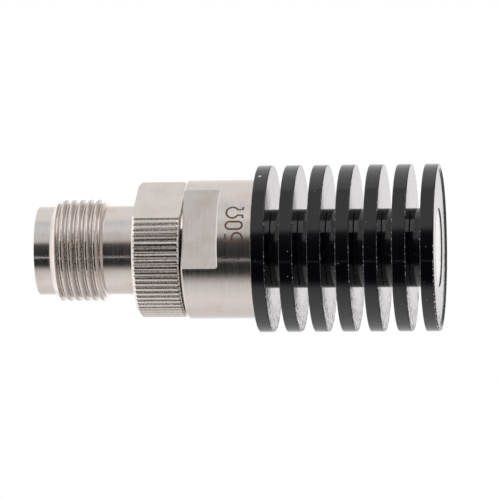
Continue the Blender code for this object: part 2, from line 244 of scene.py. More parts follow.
# %% Turn the end plug
plug_outline = [
    (0, PLUG_SOCKET_FLOOR),
    (PLUG_SOCKET_RADIUS, PLUG_SOCKET_FLOOR),
    (PLUG_SOCKET_RADIUS, PLUG_STEM_TOP, SMALL_EDGE),
    (PLUG_STEM_RADIUS, PLUG_STEM_TOP, RIM_EDGE),
    (PLUG_STEM_RADIUS, PLUG_TOP),
    (PLUG_RADIUS, PLUG_TOP, SMALL_EDGE),
    (PLUG_RADIUS, PLUG_BOTTOM, 0.06),
    (0, PLUG_BOTTOM),
]
end_plug = add_piece(turned(plug_outline, closed=False), "end_plug_disc")

# %% [markdown]
# ## Load body
# The body is a plain cylinder with a chamfered front, a socket for the jack's tenon and a long
# stem that carries the heat sink. A mill then takes two wrench flats off its front half.
# A flat is made by `bisect_plane`, which slices what stands beyond it. Only the part in front of
# the shoulder is given to the operator, so the cut stops there. Two new faces close it: the flat
# and the step of the shoulder. The flat's edges are rounded off a little. The step's edge gets a
# plain chamfer, whose corners on the shoulder are then set further out. That tilts the chamfer,
# so that it shows the bright line that runs along a real milled step where its edge is broken.

# %% Turn the load body
body_outline = [
    (BODY_SOCKET_RADIUS, BODY_FRONT, RIM_EDGE),
    (BODY_RADIUS - BODY_CHAMFER, BODY_FRONT, SMALL_EDGE),
    (BODY_RADIUS, BODY_FRONT - BODY_CHAMFER, SMALL_EDGE),
    (BODY_RADIUS, BODY_REAR, RIM_EDGE),
    (BODY_STEM_RADIUS, BODY_REAR),
    (BODY_STEM_RADIUS, BODY_STEM_END, SMALL_EDGE),
    (BODY_BORE_RADIUS, BODY_STEM_END),
    (BODY_BORE_RADIUS, BODY_SOCKET_FLOOR),
    (BODY_SOCKET_RADIUS, BODY_SOCKET_FLOOR),
]
body_shape = turned(body_outline)
print("turned blank of the body:", len(body_shape.faces), "faces")

# %% Mill the flats of the body
NEAR = 1e-4
FLAT_EDGE = 0.07
STEP_EDGE = 0.14
STEP_EDGE_RISE = 0.085
STEP_ARC_START = BODY_FLAT_REACH + 0.9
CORNER_TOLERANCE = 0.03


def in_front(item, height):
    """Whether an edge or a face lies at a height or in front of it, and not all in its plane."""
    heights = [vert.co.z for vert in item.verts]
    return min(heights) > height - NEAR and max(heights) > height + NEAR


def mill_stepped_flat(shape, side, reach, shoulder):
    """Mill a flat square to Y, on the side given by 1 or -1, from the front to a shoulder."""
    whole = shape.verts[:] + shape.edges[:] + shape.faces[:]
    bmesh.ops.bisect_plane(shape, geom=whole, dist=NEAR, plane_co=(0, 0, shoulder),
                           plane_no=(0, 0, 1))
    front = [vert for vert in shape.verts if vert.co.z > shoulder + NEAR]
    front += [edge for edge in shape.edges if min(v.co.z for v in edge.verts) > shoulder - NEAR]
    front += [face for face in shape.faces if in_front(face, shoulder)]
    bmesh.ops.bisect_plane(shape, geom=front, dist=NEAR, plane_co=(0, side * reach, 0),
                           plane_no=(0, side, 0), clear_outer=True)
    rims = [edge for edge in shape.edges if edge.is_boundary]
    flat_rim = [edge for edge in rims
                if all(abs(v.co.y - side * reach) < NEAR for v in edge.verts)]
    step_rim = [edge for edge in rims if edge not in flat_rim]
    ends = [v for v in {v for edge in flat_rim for v in edge.verts}
            if abs(v.co.z - shoulder) < NEAR]
    inner_corner = shape.edges.new(ends)
    for rim in (flat_rim, step_rim):
        bmesh.ops.contextual_create(shape, geom=rim + [inner_corner])
    return flat_rim, step_rim

# %% Break the edges and finish the body
def break_edges(shape, edges, size, segments):
    """Take the sharpness off some edges, with a chamfer of one segment or a rounding of more."""
    bmesh.ops.bevel(shape, geom=edges, offset=size, offset_type="OFFSET", segments=segments,
                    profile=0.5, affect="EDGES", material=-1)


flat_edges = []
step_edges = []
for side in (1, -1):
    flat_rim, step_rim = mill_stepped_flat(body_shape, side, BODY_FLAT_REACH, BODY_FLAT_SHOULDER)
    flat_edges += flat_rim
    step_edges += step_rim
bmesh.ops.recalc_face_normals(body_shape, faces=body_shape.faces)
break_edges(body_shape, step_edges, STEP_EDGE, 1)
for vert in body_shape.verts:
    radius = vert.co.xy.length
    on_step = abs(vert.co.z - BODY_FLAT_SHOULDER) < NEAR and radius > STEP_ARC_START
    if on_step and abs(radius - BODY_RADIUS + STEP_EDGE) < CORNER_TOLERANCE:
        vert.co.xy *= (BODY_RADIUS - STEP_EDGE_RISE) / radius
flat_edges = [edge for edge in flat_edges if edge.is_valid]
break_edges(body_shape, flat_edges, FLAT_EDGE, 2)
load_body = add_piece(body_shape, "load_body_turned")

# %% [markdown]
# ## Jack: the threaded blank
# The jack, its collar and its tenon are one piece of bar. The blank is turned first, inside and
# out: a mouth for the plug's nose, a ledge that holds the insulator, and a rear bore. Behind the
# thread the blank slopes down over a short run-out, so that the last groove fades away.
# The thread is a helical groove. Its outline is swept by `bmesh.ops.spin` with a small rise for
# each step, the pitch divided by the steps of a turn, so the groove climbs like a screw's. The
# two ends are capped and the groove is cut from the blank by a Boolean modifier, as the
# threading tool cuts it. The groove's own profile has a rounded root and flared lips, so the
# crests come out with broken edges.

# %% Turn the jack's blank
INSIDE_COLLAR = 1.5
RUN_OUT = 0.4

jack_outline = [
    (MOUTH_RADIUS, MOUTH, 0.08),
    (BARREL_RADIUS, MOUTH, 0.1),
    (BARREL_RADIUS, THREAD_FRONT),
    (THREAD_RADIUS, THREAD_FRONT - (THREAD_RADIUS - BARREL_RADIUS)),
    (THREAD_RADIUS, THREAD_REAR + RUN_OUT),
    (BARREL_RADIUS, THREAD_REAR + 0.05, SMALL_EDGE),
    (BARREL_RADIUS, COLLAR_FRONT - INSIDE_COLLAR),
    (COLLAR_SEAT_RADIUS, COLLAR_REAR + INSIDE_COLLAR),
    (COLLAR_SEAT_RADIUS, COLLAR_SEAT),
    (TENON_RADIUS, COLLAR_SEAT),
    (TENON_RADIUS, TENON_END, RIM_EDGE),
    (RING_POCKET_RADIUS, TENON_END),
    (RING_POCKET_RADIUS, RING_POCKET_TOP),
    (SHELL_BORE_RADIUS, RING_POCKET_TOP),
    (SHELL_BORE_RADIUS, LEDGE_REAR),
    (LEDGE_RADIUS, LEDGE_REAR),
    (LEDGE_RADIUS, MOUTH_FLOOR),
    (MOUTH_RADIUS, MOUTH_FLOOR),
]
jack_shape = turned(jack_outline)
print("turned blank of the jack:", len(jack_shape.faces), "faces")

# %% Sweep the groove of the thread
THREAD_STEPS = 144
THREAD_START = THREAD_REAR - 1.125
THREAD_TURNS = 9
FLANK_SLOPE = math.tan(math.radians(30))
CREST_WIDTH = 0.275 * THREAD_PITCH
LIP = 0.03
OVERCUT = 0.06
ROOT_ROUNDING = 0.05

lip_half = (THREAD_PITCH - CREST_WIDTH) / 2
root_half = lip_half - THREAD_DEPTH * FLANK_SLOPE
flank_top = THREAD_RADIUS - LIP
upper_half = [
    (THREAD_RADIUS - THREAD_DEPTH, root_half, ROOT_ROUNDING),
    (flank_top, lip_half - LIP * FLANK_SLOPE),
    (THREAD_RADIUS, lip_half + LIP),
    (THREAD_RADIUS + OVERCUT, lip_half + LIP),
]
lower_half = [(radius, -height, *rest) for radius, height, *rest in reversed(upper_half)]
groove_outline = [(radius, THREAD_START + height, *rest)
                  for radius, height, *rest in upper_half + lower_half]

groove = bmesh.new()
draw_outline(groove, groove_outline, closed=True)
bmesh.ops.spin(groove, geom=groove.verts[:] + groove.edges[:], cent=(0, 0, 0), axis=(0, 0, 1),
               dvec=(0, 0, THREAD_PITCH / THREAD_STEPS), angle=THREAD_TURNS * math.tau,
               steps=THREAD_TURNS * THREAD_STEPS, use_merge=False)
open_ends = [edge for edge in groove.edges if edge.is_boundary]
bmesh.ops.holes_fill(groove, edges=open_ends)
bmesh.ops.recalc_face_normals(groove, faces=groove.faces)
print("helical groove:", len(groove.faces), "faces")

# %% Combine two shapes
def as_object(shape, name):
    """Put a shape in an object of its own, as it is."""
    mesh = bpy.data.meshes.new(name)
    shape.to_mesh(mesh)
    shape.free()
    item = bpy.data.objects.new(name, mesh)
    bpy.context.scene.collection.objects.link(item)
    return item


def combined(base, tool, operation):
    """Join a tool's shape to a base, or cut it out, and return the new shape."""
    items = [as_object(base, "base"), as_object(tool, "tool")]
    boolean = items[0].modifiers.new("Boolean", "BOOLEAN")
    boolean.operation = operation
    boolean.solver = "EXACT"
    boolean.object = items[1]
    mesh = baked_mesh(items[0])
    shape = bmesh.new()
    shape.from_mesh(mesh)
    for item in items:
        bpy.data.objects.remove(item)
    return shape


jack_shape = combined(jack_shape, groove, "DIFFERENCE")
print("threaded jack:", len(jack_shape.faces), "faces")

# %% [markdown]
# ## Jack: the knurled collar
# The collar is gripped by hand or, on its two flats, by a wrench. A straight knurl is rolled
# round it after it has been chamfered, with two slopes at the rear. The ring is spun with eight
# columns to a tooth, and the columns of a groove are slid inwards. `end_height` keeps their
# corners on the slopes at both ends, so the chamfers' edges come out wavy, as a real knurl
# leaves them. The grooves differ a little in depth, as no two are rolled quite alike.
# A Boolean could cut the 72 grooves too, but sliding the columns leaves clean, even faces.

# %% Spin and knurl the collar
KNURL_COUNT = 72
KNURL_DEPTH = 0.19
KNURL_SPREAD = 0.08
KNURL_FORM = (1, 0.58, 0.075, 0, 0, 0, 0.075, 0.58)
COLLAR_BORE = BARREL_RADIUS - 0.3
REAR_BREAK = 0.14
FRONT_BREAK = 0.36
CHANCE_STRIDE = 12.9898
CHANCE_SCALE = 43758.5453

collar = turned([
    (COLLAR_BORE, COLLAR_REAR),
    (COLLAR_RADIUS - COLLAR_REAR_CHAMFER, COLLAR_REAR),
    (COLLAR_RADIUS - REAR_BREAK, COLLAR_REAR + REAR_BREAK / 2),
    (COLLAR_RADIUS, COLLAR_REAR + COLLAR_REAR_CHAMFER),
    (COLLAR_RADIUS, COLLAR_FRONT - FRONT_BREAK),
    (COLLAR_RADIUS - FRONT_BREAK, COLLAR_FRONT),
    (COLLAR_BORE, COLLAR_FRONT),
], steps=KNURL_COUNT * len(KNURL_FORM))

column_angle = math.tau / (KNURL_COUNT * len(KNURL_FORM))
middle = (COLLAR_REAR + COLLAR_FRONT) / 2


def end_height(radius, front):
    """The height at which an end of the collar has a radius."""
    inward = COLLAR_RADIUS - radius
    if front:
        return COLLAR_FRONT - FRONT_BREAK + inward
    steep = (COLLAR_REAR_CHAMFER - inward) / (COLLAR_REAR_CHAMFER - REAR_BREAK) * REAR_BREAK / 2
    shallow = COLLAR_REAR_CHAMFER - inward / REAR_BREAK * (COLLAR_REAR_CHAMFER - REAR_BREAK / 2)
    return COLLAR_REAR + (steep if inward > REAR_BREAK else shallow)


def groove_depth(column):
    """The depth of the groove that a column belongs to: no two are rolled quite alike."""
    groove_number = round(column / len(KNURL_FORM)) % KNURL_COUNT
    chance = math.sin(groove_number * CHANCE_STRIDE) * CHANCE_SCALE % 1
    return KNURL_DEPTH - KNURL_SPREAD * chance


for vert in collar.verts:
    radius = vert.co.xy.length
    column = round(math.atan2(vert.co.y, vert.co.x) / column_angle)
    tooth_radius = COLLAR_RADIUS - groove_depth(column) * KNURL_FORM[column % len(KNURL_FORM)]
    if radius > tooth_radius + NEAR:
        vert.co.xy *= tooth_radius / radius
        vert.co.z = end_height(tooth_radius, vert.co.z > middle)
bmesh.ops.remove_doubles(collar, verts=collar.verts, dist=NEAR)
turn_to_flats = Matrix.Rotation(math.radians(COLLAR_CLOCKING - 90), 3, "Z")
bmesh.ops.rotate(collar, cent=(0, 0, 0), matrix=turn_to_flats, verts=collar.verts)
print("knurl of", KNURL_COUNT, "teeth")

# %% Mill the collar's flats and join it to the jack
flat_normals = [turn_to_flats @ Vector((sign, 0, 0)) for sign in (1, -1)]
for normal in flat_normals:
    whole = collar.verts[:] + collar.edges[:] + collar.faces[:]
    cut = bmesh.ops.bisect_plane(collar, geom=whole, dist=NEAR, plane_no=normal,
                                 plane_co=normal * COLLAR_FLAT_REACH, clear_outer=True)
    rim = [item for item in cut["geom_cut"] if isinstance(item, bmesh.types.BMEdge)]
    bmesh.ops.contextual_create(collar, geom=rim)
bmesh.ops.recalc_face_normals(collar, faces=collar.faces)
jack_shape = combined(jack_shape, collar, "UNION")
jack = add_piece(jack_shape, "threaded_jack", face_pull=50)

# %% [markdown]
# ## Inside the mouth
# A white insulator fills the jack's mouth and holds the centre contact, a gold-plated socket
# with four spring fingers. Both are spun, and the slots between the fingers are two thin boxes
# cut across each other.

# %% Turn the insulator and the contact
RING_LENGTH = 1.8
BEAD_THICKNESS = 1.2
NOSE_RADIUS = 2.4
NOSE_FRONT = MOUTH - 3.4
INSULATOR_REAR = TENON_END + RING_LENGTH + SEAT + BEAD_THICKNESS + SEAT
INSULATOR_POCKET_TOP = INSULATOR_REAR + 3.2

CONTACT_RADIUS = 1.05
CONTACT_FRONT = MOUTH - 3.5
CONTACT_BORE_RADIUS = 0.7
CONTACT_BORE_FLOOR = CONTACT_FRONT - 4.2
SHOULDER_RADIUS = 1.4
SHOULDER_TOP = INSULATOR_POCKET_TOP - SEAT
SHOULDER_REAR = SHOULDER_TOP - 1.2
TAIL_RADIUS = 0.75
TAIL_END = TENON_END - 3.3
TAIL_BORE_RADIUS = 0.45
TAIL_BORE_FLOOR = TAIL_END + 2.2

insulator = add_piece(turned([
    (CONTACT_RADIUS + FIT, NOSE_FRONT, 0.1),
    (NOSE_RADIUS, NOSE_FRONT, 0.15),
    (NOSE_RADIUS, MOUTH_FLOOR),
    (LEDGE_RADIUS - FIT, MOUTH_FLOOR),
    (LEDGE_RADIUS - FIT, LEDGE_REAR - SEAT),
    (SHELL_BORE_RADIUS - FIT, LEDGE_REAR - SEAT),
    (SHELL_BORE_RADIUS - FIT, INSULATOR_REAR),
    (SHOULDER_RADIUS + FIT, INSULATOR_REAR),
    (SHOULDER_RADIUS + FIT, INSULATOR_POCKET_TOP),
    (CONTACT_RADIUS + FIT, INSULATOR_POCKET_TOP),
], steps=96), "mouth_insulator")

contact_shape = turned([
    (0, CONTACT_BORE_FLOOR),
    (CONTACT_BORE_RADIUS, CONTACT_BORE_FLOOR),
    (CONTACT_BORE_RADIUS, CONTACT_FRONT, 0.08),
    (CONTACT_RADIUS, CONTACT_FRONT, 0.12),
    (CONTACT_RADIUS, SHOULDER_TOP),
    (SHOULDER_RADIUS, SHOULDER_TOP, SMALL_EDGE),
    (SHOULDER_RADIUS, SHOULDER_REAR, SMALL_EDGE),
    (TAIL_RADIUS, SHOULDER_REAR),
    (TAIL_RADIUS, TAIL_END, SMALL_EDGE),
    (TAIL_BORE_RADIUS, TAIL_END),
    (TAIL_BORE_RADIUS, TAIL_BORE_FLOOR),
    (0, TAIL_BORE_FLOOR),
], steps=72, closed=False)

# %% Slot the contact
SLOT_WIDTH = 0.25
SLOT_DEPTH = 3.5
SLOT_LENGTH = 4
for size in ((SLOT_LENGTH, SLOT_WIDTH), (SLOT_WIDTH, SLOT_LENGTH)):
    slot = bmesh.new()
    bmesh.ops.create_cube(slot, size=1)
    bmesh.ops.scale(slot, vec=(*size, SLOT_DEPTH + 1), verts=slot.verts)
    lift = CONTACT_FRONT + (1 - SLOT_DEPTH) / 2
    bmesh.ops.translate(slot, vec=(0, 0, lift), verts=slot.verts)
    contact_shape = combined(contact_shape, slot, "DIFFERENCE")
contact = add_piece(contact_shape, "slotted_contact")

# %% [markdown]
# ## The mark
# A laser has etched the resistance of the line that this part ends, fifty ohms, on the body.
# Each sign is one stroke, drawn as a bevelled curve so that the pen has one width all along, then
# made a mesh, pressed nearly flat and bent round the body. It stands a hundredth of a millimetre
# proud, too little to feel.

# %% Draw the strokes
PEN_RADIUS = 0.135
MARK_FOOT = 20.42
MARK_PITCH = 1.34
MARK_PROUD = 0.012
MARK_START = 5.5
VIEW_AZIMUTH = math.radians(-20.8)


def arc(centre, radius, start, end, count=14):
    """Points along an arc, with its angles in degrees."""
    angles = [math.radians(start + (end - start) * i / count) for i in range(count + 1)]
    return [(centre[0] + radius * math.cos(a), centre[1] + radius * math.sin(a)) for a in angles]


def line(start, end, count=6):
    """Points along a straight stroke."""
    return [tuple(Vector(start).lerp(Vector(end), i / count)) for i in range(count + 1)]


five = line((0.92, 1.93), (0.2, 1.93)) + line((0.17, 1.8), (0.13, 1.14)) \
    + arc((0.46, 0.69), 0.56, 125, -145, 20)
zero = arc((0.52, 1.49), 0.42, 0, 180) + arc((0.52, 0.56), 0.42, 180, 360)
ohm = line((0.0, 0.12), (0.34, 0.12), 3) + arc((0.7, 1.22), 0.66, 240, -60, 24) \
    + line((1.06, 0.12), (1.4, 0.12), 3)
signs = [(five, False), (zero, True), (ohm, False)]
print("points in the three strokes:", sum(len(points) for points, ring in signs))

# %% Bend the mark round the body
pen = bpy.data.curves.new("pen", "CURVE")
pen.dimensions = "3D"
pen.bevel_depth = PEN_RADIUS
pen.bevel_resolution = 2
pen.use_fill_caps = True
for index, (points, ring) in enumerate(signs):
    spline = pen.splines.new("POLY")
    spline.points.add(len(points) - 1)
    for point, (x, y) in zip(spline.points, points):
        point.co = (x + index * MARK_PITCH, y, 0, 1)
    spline.use_cyclic_u = ring
drawn = bpy.data.objects.new("pen", pen)
bpy.context.scene.collection.objects.link(drawn)
mark_shape = bmesh.new()
mark_shape.from_mesh(baked_mesh(drawn))
bpy.data.objects.remove(drawn)
bmesh.ops.remove_doubles(mark_shape, verts=mark_shape.verts, dist=NEAR)
for vert in mark_shape.verts:
    across, along, lift = vert.co
    radius = BODY_RADIUS - MARK_PROUD + 2 * MARK_PROUD * lift / PEN_RADIUS
    angle = VIEW_AZIMUTH - math.pi / 2 + math.radians(MARK_START) + across / BODY_RADIUS
    vert.co = (radius * math.cos(angle), radius * math.sin(angle), MARK_FOOT + along)
bmesh.ops.recalc_face_normals(mark_shape, faces=mark_shape.faces)
mark = add_piece(mark_shape, "etched_mark")

# %% [markdown]
# ## Writing materials as sums
# A finish is mostly arithmetic on where a point is: how far out, how far along, which fin.
# A small class wraps a socket so that Python's own operators add the Math nodes, and one
# method adds any other node. The reflected forms make `1 - mask` work as well.

# %% A value in a node tree
class Value:
    """A socket's value. Arithmetic on it adds the Math nodes that work it out."""

    def __init__(self, tree, socket):
        self.tree = tree
        self.socket = socket

    def math(self, operation, *terms):
        """Add a Math node on the given terms."""
        return self.tree.node("ShaderNodeMath", {"operation": operation}, dict(enumerate(terms)))

    def __add__(self, other):
        return self.math("ADD", self, other)

    def __sub__(self, other):
        return self.math("SUBTRACT", self, other)

    def __mul__(self, other):
        return self.math("MULTIPLY", self, other)

    def __truediv__(self, other):
        return self.math("DIVIDE", self, other)

    def __rsub__(self, other):
        return self.math("SUBTRACT", other, self)

    __radd__ = __add__
    __rmul__ = __mul__

    def above(self, edge, softness):
        """0 below an edge and 1 above it, with a soft step between."""
        return self.tree.node("ShaderNodeMapRange", {"interpolation_type": "SMOOTHSTEP"}, {
            "Value": self, "From Min": edge - softness, "From Max": edge + softness})

# %% A node tree
class Tree:
    """A node tree, and the one way to add a node to it."""

    def __init__(self, owner):
        owner.use_nodes = True
        self.nodes = owner.node_tree.nodes
        self.links = owner.node_tree.links
        self.nodes.clear()

    def node(self, kind, settings=None, sockets=None, output=0):
        """Add a node, set it, then give or link the values of its sockets."""
        made = self.nodes.new(kind)
        for name, value in (settings or {}).items():
            if name == "stops":
                self.set_stops(made.color_ramp, value)
            else:
                setattr(made, name, value)
        for name, value in (sockets or {}).items():
            if isinstance(value, Value):
                self.links.new(value.socket, made.inputs[name])
            else:
                made.inputs[name].default_value = value
        return Value(self, made.outputs[output]) if made.outputs else made

    def set_stops(self, ramp, stops):
        """Fill a colour ramp with (place, colour) stops."""
        while len(ramp.elements) < len(stops):
            ramp.elements.new(1)
        for element, (place, colour) in zip(ramp.elements, stops):
            element.position = place
            element.color = (*colour, 1)

    def mix(self, amount, first, second):
        """Mix two colours by an amount from 0 to 1."""
        sockets = {0: amount, 6: first, 7: second}
        return self.node("ShaderNodeMix", {"data_type": "RGBA"}, sockets, 2)

    def dot(self, vector, direction):
        """How far a vector reaches along a direction."""
        sockets = {0: vector, 1: direction}
        return self.node("ShaderNodeVectorMath", {"operation": "DOT_PRODUCT"}, sockets, 1)

# %% [markdown]
# Every finish starts the same way: where the point is in millimetres, how far it stands from
# the axis, and noise. A lathe leaves marks that run round the part, so turning marks are noise
# of radius and height alone: it doesn't change as the part turns.

# %% Places and noise
class Finish(Tree):
    """A material in the making, with the places and noises that the finishes share."""

    def __init__(self, name):
        self.material = bpy.data.materials.new(name)
        super().__init__(self.material)
        place = self.node("ShaderNodeTexCoord", output=3)
        scaled = {"operation": "SCALE"}
        self.place = self.node("ShaderNodeVectorMath", scaled, {0: place, "Scale": 1 / MM})
        x = self.dot(self.place, (1, 0, 0))
        y = self.dot(self.place, (0, 1, 0))
        squares = x * x + y * y
        self.radius = squares.math("SQRT", squares)
        self.height = self.dot(self.place, (0, 0, 1))

    def noise(self, vector, scale, detail=2.0, roughness=0.5):
        """Smooth noise from 0 to 1, with a scale in features per millimetre."""
        sockets = {"Vector": vector, "Scale": scale, "Detail": detail, "Roughness": roughness}
        return self.node("ShaderNodeTexNoise", {"noise_dimensions": "3D"}, sockets)

    def lathe_vector(self):
        """A vector of radius and height, the same all the way round the part."""
        return self.node("ShaderNodeCombineXYZ", {}, {0: self.radius, 2: self.height})

    def stretched(self, x, y, z):
        """The place, stretched or squeezed along each axis."""
        sockets = {0: self.place, 1: (x, y, z)}
        return self.node("ShaderNodeVectorMath", {"operation": "MULTIPLY"}, sockets)

    def bump(self, height, size):
        """A normal that is bumped by a height, with the bump's size in millimetres."""
        sockets = {"Height": height, "Distance": size * MM, "Strength": 1.0}
        return self.node("ShaderNodeBump", {}, sockets)

    def shade(self, **sockets):
        """End the material in a Principled shader with the given sockets."""
        named = {name.replace("_", " "): value for name, value in sockets.items()}
        shader = self.node("ShaderNodeBsdfPrincipled", {}, named)
        self.node("ShaderNodeOutputMaterial", {}, {"Surface": shader})
        return self.material

# %% [markdown]
# ## Nickel
# The jack and the body are brass under a satin nickel plate. Nickel is slightly warm. The
# turning marks stretch a highlight along the axis, which is what the anisotropy says, and a fine
# bump in them breaks up the reflections. Broader streaks, where the tool ran smoother or rougher,
# make some rings shinier than others. Handling leaves faint brownish clouds and tiny pits, and
# specks of grime settle in the grooves of the thread and the knurl, where no cloth reaches.

# %% Tones of nickel, and the places that hold grime
NICKEL = (0.665, 0.618, 0.58, 1)
NICKEL_STAINED = (0.60, 0.52, 0.44, 1)
NICKEL_MATT = (0.57, 0.54, 0.475, 1)
GROOVE_GRIME = (0.36, 0.3, 0.25, 1)
PIT_BROWN = (0.16, 0.1, 0.06, 1)
NICKEL_BRIGHT = (0.425, 0.413, 0.393, 1)

FIRST_GROOVE = THREAD_REAR + 0.55
LAST_GROOVE = THREAD_FRONT - 0.65
CREST_SKIN = 0.06
KNURL_START = COLLAR_REAR + 0.25
KNURL_END = COLLAR_FRONT - 0.3
TOOTH_SKIN = 0.05
TOOTH_WIPED = 0.9
PIT_RADIUS = 0.045
THREAD_GRIME = 0.35
KNURL_GRIME = 0.2
THREAD_GRIT = 3
KNURL_GRIT = 5


def in_thread(finish):
    """1 in the grooves of the thread, and 0 elsewhere."""
    inside = finish.height.above(FIRST_GROOVE, 0.1) - finish.height.above(LAST_GROOVE, 0.1)
    return inside * (1 - finish.radius.above(THREAD_RADIUS - CREST_SKIN, 0.04))


def in_knurl(finish):
    """1 in the grooves of the knurl, a part of that on its teeth, and 0 elsewhere."""
    inside = finish.height.above(KNURL_START, 0.05) - finish.height.above(KNURL_END, 0.05)
    outside = finish.radius.above(BARREL_RADIUS + 0.5, 0.1)
    on_teeth = finish.radius.above(COLLAR_RADIUS - TOOTH_SKIN, 0.04)
    return inside * outside * (1 - on_teeth * TOOTH_WIPED)

# %% Plated nickel, turned
def nickel_finish(name, marks_size, roughness, anisotropy, plate=NICKEL):
    """Nickel plate over turning marks of the given size in millimetres."""
    finish = Finish(name)
    lathe = finish.lathe_vector()
    marks = finish.noise(lathe, 9, detail=4, roughness=0.65)
    streaks = finish.noise(lathe, 3.2, detail=2)
    clouds = finish.noise(finish.place, 0.45, detail=3)
    grain = finish.noise(finish.place, 6, detail=2)
    stain = clouds.above(0.6, 0.12) * 0.45 + (grain - 0.5) * 0.25
    thread = in_thread(finish)
    knurl = in_knurl(finish)
    specks = finish.noise(finish.stretched(1, 1, 1.6), 5, detail=3, roughness=0.7)
    specks = specks.above(0.5, 0.16)
    grime = (thread * THREAD_GRIME + knurl * KNURL_GRIME) * specks
    tone = finish.mix(stain, plate, NICKEL_STAINED)
    tone = finish.mix(grime, tone, GROOVE_GRIME)
    pits = finish.node("ShaderNodeTexVoronoi", {}, {"Vector": finish.place, "Scale": 0.9})
    pits = (1 - pits.above(PIT_RADIUS, 0.02)) * clouds.above(0.5, 0.05)
    tone = finish.mix(pits * 0.8, tone, PIT_BROWN)
    rough = roughness + (marks - 0.5) * 0.16 + (clouds - 0.5) * 0.06 + knurl * 0.08
    rough = rough + (streaks - 0.5) * 0.2
    grit = (thread * THREAD_GRIT + knurl * KNURL_GRIT) * specks
    normal = finish.bump(marks + grain * 0.3 + grit, marks_size)
    return finish.shade(Base_Color=tone, Metallic=1.0, Roughness=rough, Normal=normal,
                        Anisotropic=anisotropy, Anisotropic_Rotation=0.25)


nickel = nickel_finish("nickel_turned", 0.003, 0.18, 0.75)
print("made", nickel.name)

# %% [markdown]
# A milled flat has no turning marks. It has fine straight lines, nearly invisible, left along
# the cutter's path, and is a touch more matt.

# %% Milled nickel
def milled_finish(name):
    """Nickel plate over the fine lines of a mill, which run along the axis."""
    finish = Finish(name)
    lines = finish.noise(finish.stretched(6, 6, 0.4), 1, detail=3, roughness=0.6)
    clouds = finish.noise(finish.place, 0.55, detail=4)
    stain = clouds.above(0.52, 0.16) * 0.5
    tone = finish.mix(stain, NICKEL, NICKEL_MATT)
    rough = 0.24 + (lines - 0.5) * 0.1
    normal = finish.bump(lines, 0.0012)
    return finish.shade(Base_Color=tone, Metallic=1.0, Roughness=rough, Normal=normal)


milled = milled_finish("nickel_milled")
print("made", milled.name)

# %% [markdown]
# ## Black anodise
# Anodising turns aluminium's skin into a hard black oxide. It reflects little when it is seen
# straight on and a great deal at a slant, which is why the faces of the fins look almost white
# here: they are seen at seven degrees. Down between the fins the core gets a copy of the black,
# with a slightly lighter dye, that reflects a little less: painted shade for the gap between the
# fins. The part has lain on one side, so most of the wear is on that side: its direction is
# fixed on the object. Nicks in the rims' thin edges, a knocked rim at the end face and one chip
# have lost the black, and specks of dust sit on it.

# %% Where the black is gone
ALUMINIUM = (0.6, 0.59, 0.57, 1)
CHIP_ANGLE = math.radians(59.5)
CHIP_HEIGHT = SINK_TOP - 0.6
CHIP_RADIUS = 0.15
END_RIM = 0.5
KNOCK_REACH = 0.14
DUST_RADIUS = 0.035

toward_camera = Vector((math.sin(VIEW_AZIMUTH), -math.cos(VIEW_AZIMUTH), 0))
upward_in_photo = Vector((0, 0, 1)).cross(toward_camera)
chip_way = toward_camera * math.cos(CHIP_ANGLE) + upward_in_photo * math.sin(CHIP_ANGLE)
chip_place = tuple(chip_way * FIN_RADIUS + Vector((0, 0, CHIP_HEIGHT)))


def bare_places(finish, lain_on):
    """1 in the nicks of the rims' edges, in the chip and in the dust, and 0 elsewhere."""
    fin_phase = finish.height.math("PINGPONG", finish.height - FIN_THICKNESS / 2, FIN_PITCH / 2)
    from_edge = fin_phase - FIN_THICKNESS / 2
    from_edge = from_edge.math("ABSOLUTE", from_edge)
    knocked = lain_on * (1 - finish.height.above(END_RIM, 0.1))
    reach = knocked * KNOCK_REACH
    at_edge = 1 - (from_edge - reach).above(0.05, 0.03)
    at_rim = (finish.radius + reach).above(FIN_RADIUS - 0.07, 0.03)
    nick_noise = finish.noise(finish.place, 5.5, detail=2)
    nicks = at_edge * at_rim * (nick_noise + knocked * 0.04).above(0.62, 0.03)
    dust = finish.node("ShaderNodeTexVoronoi", {}, {"Vector": finish.place, "Scale": 1.1})
    dust = 1 - dust.above(DUST_RADIUS, 0.012)
    ends = {0: finish.place, 1: chip_place}
    from_chip = finish.node("ShaderNodeVectorMath", {"operation": "DISTANCE"}, ends, 1)
    chip = 1 - from_chip.above(CHIP_RADIUS, 0.03)
    return nicks.math("MAXIMUM", nicks.math("MAXIMUM", nicks, dust), chip)


print("chip on the first rim at", [round(value, 2) for value in chip_place])

# %% [markdown]
# The broad faces are rubbed. Scuffs and long scratches roughen them, more towards the rim and on
# the side that the part has lain on, and a worn line follows the rim itself. All this only makes
# the black more matt, so it is added to the roughness.

# %% Anodised aluminium
SCUFFS_FROM = 6.9
SCUFFS_FADE = 2.2
SCUFF_WEIGHT = 1.1
SCRATCH_WEIGHT = 0.4
RIM_WEAR_FROM = FIN_RADIUS - 0.3


def rubbed_places(finish, lain_on):
    """How much the fins' faces are scuffed, scratched and worn along their rims."""
    on_face = 1 - finish.radius.above(FIN_RADIUS - 0.12, 0.03)
    outward = finish.radius.above(SCUFFS_FROM, SCUFFS_FADE)
    scuffs = finish.noise(finish.place, 2.2, detail=6, roughness=0.72).above(0.53, 0.09)
    scuffs = scuffs * (0.15 + outward * lain_on * SCUFF_WEIGHT)
    scratches = finish.noise(finish.stretched(0.35, 2.6, 1), 2.2, detail=2).above(0.64, 0.02)
    rim_wear = finish.radius.above(RIM_WEAR_FROM, 0.12) * lain_on
    rim_wear = rim_wear * finish.noise(finish.place, 4.5, detail=3).above(0.5, 0.08)
    return on_face * (scuffs + scratches * SCRATCH_WEIGHT + rim_wear * SCUFF_WEIGHT)


